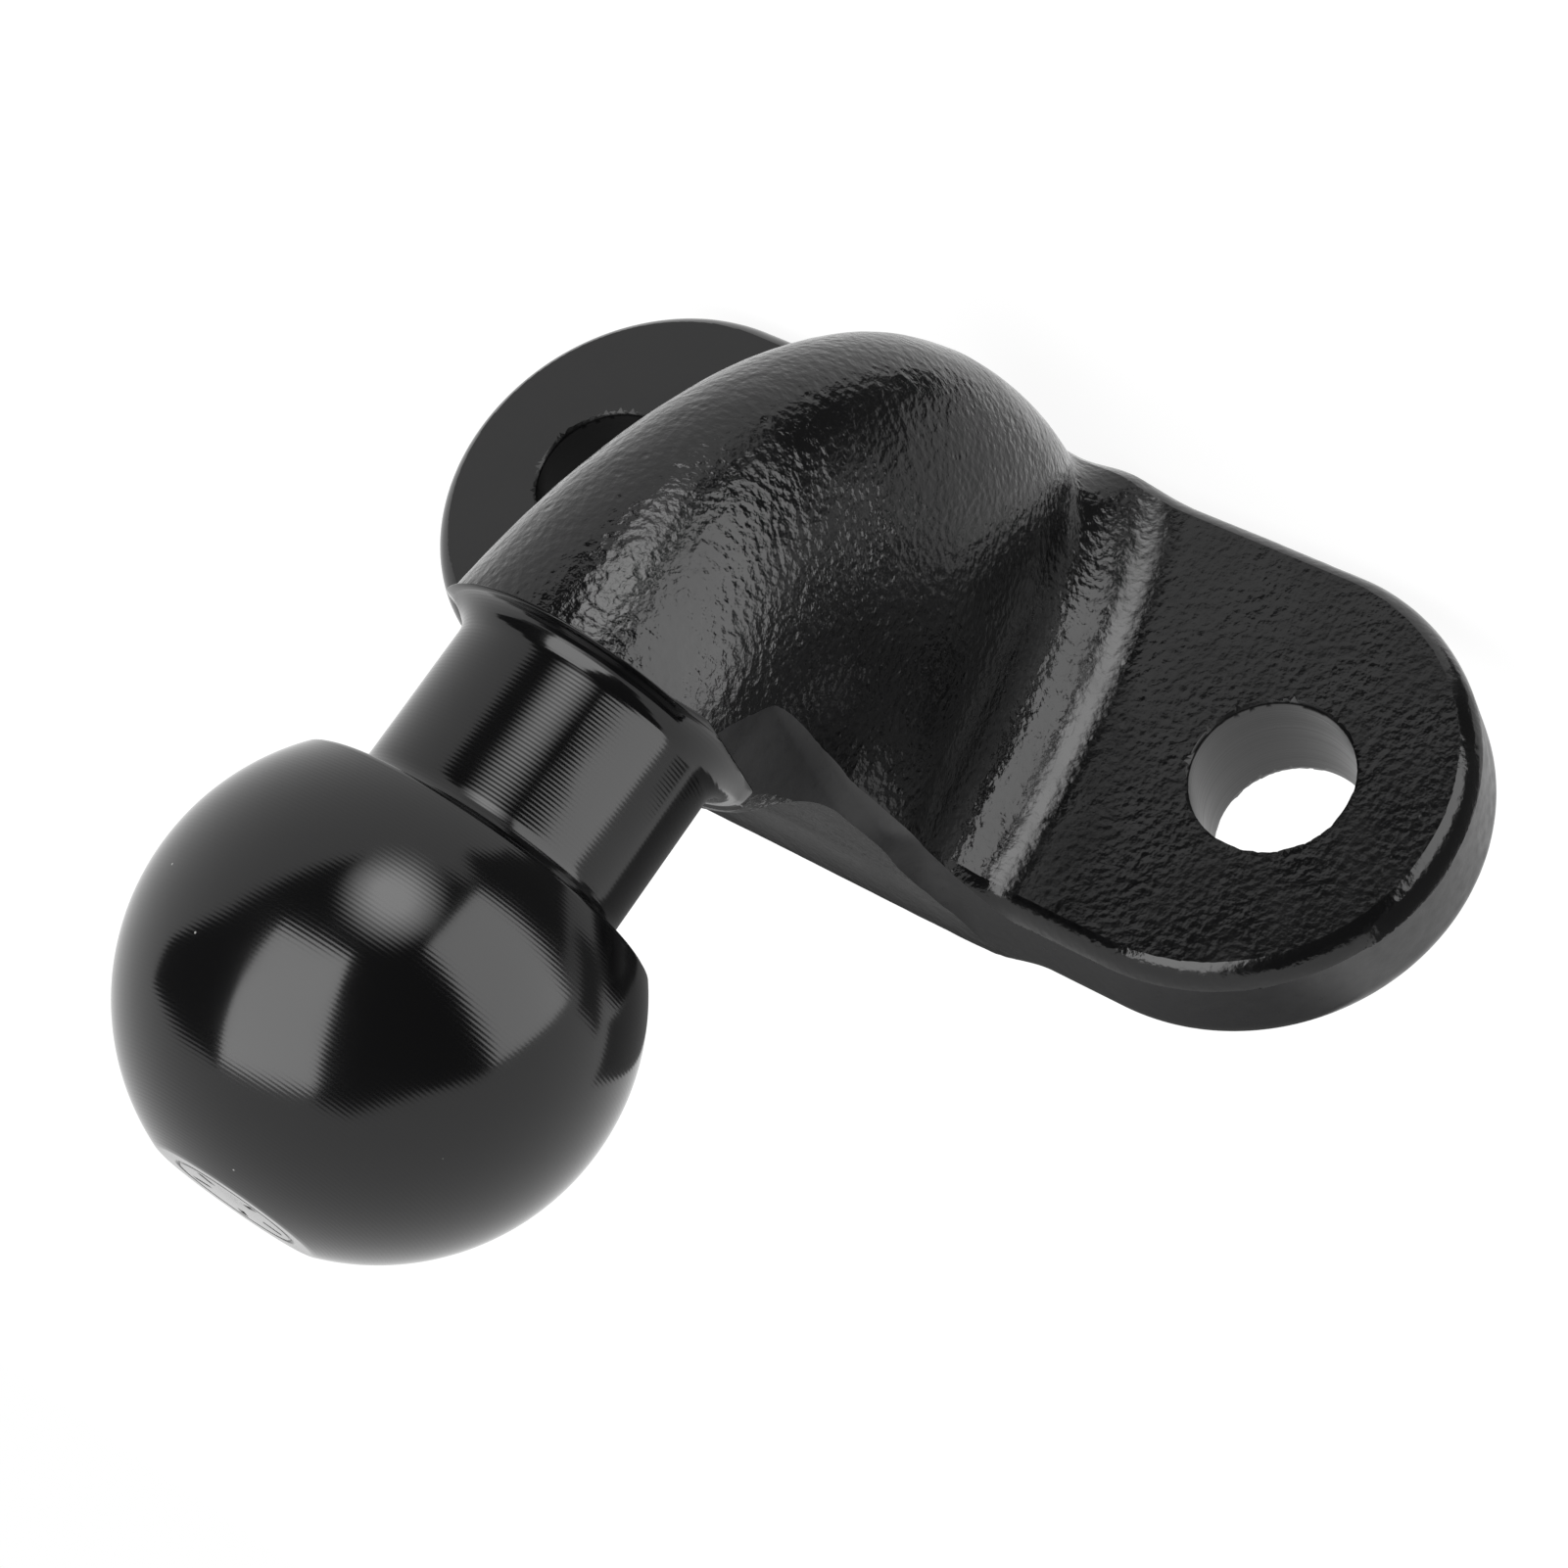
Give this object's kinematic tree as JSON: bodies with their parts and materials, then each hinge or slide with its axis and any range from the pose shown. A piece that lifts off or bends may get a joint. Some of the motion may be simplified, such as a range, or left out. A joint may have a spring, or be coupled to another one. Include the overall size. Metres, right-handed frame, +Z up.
{
  "type": "flange tow ball",
  "caption": "Forged flange tow ball: a plate with bolt holes, a swept arm, and a turned neck and ball that a trailer coupling locks onto.",
  "frame": {"origin": "centre of the flat mounting face, midway between the bolt holes", "axes": "+Y out of the mounting face towards the vehicle, +Z up along the ball's axis, X through both bolt holes"},
  "size_m": [0.1318, 0.082, 0.1224],
  "materials": {
    "turned_black": "satin black over fine lathe turning",
    "forged_black": "gloss black over a rough forged skin"
  },
  "bodies": {
    "root": {"ball": "turned_black", "neck": "turned_black", "arm": "forged_black", "flange": "forged_black"}
  },
  "joints": []
}
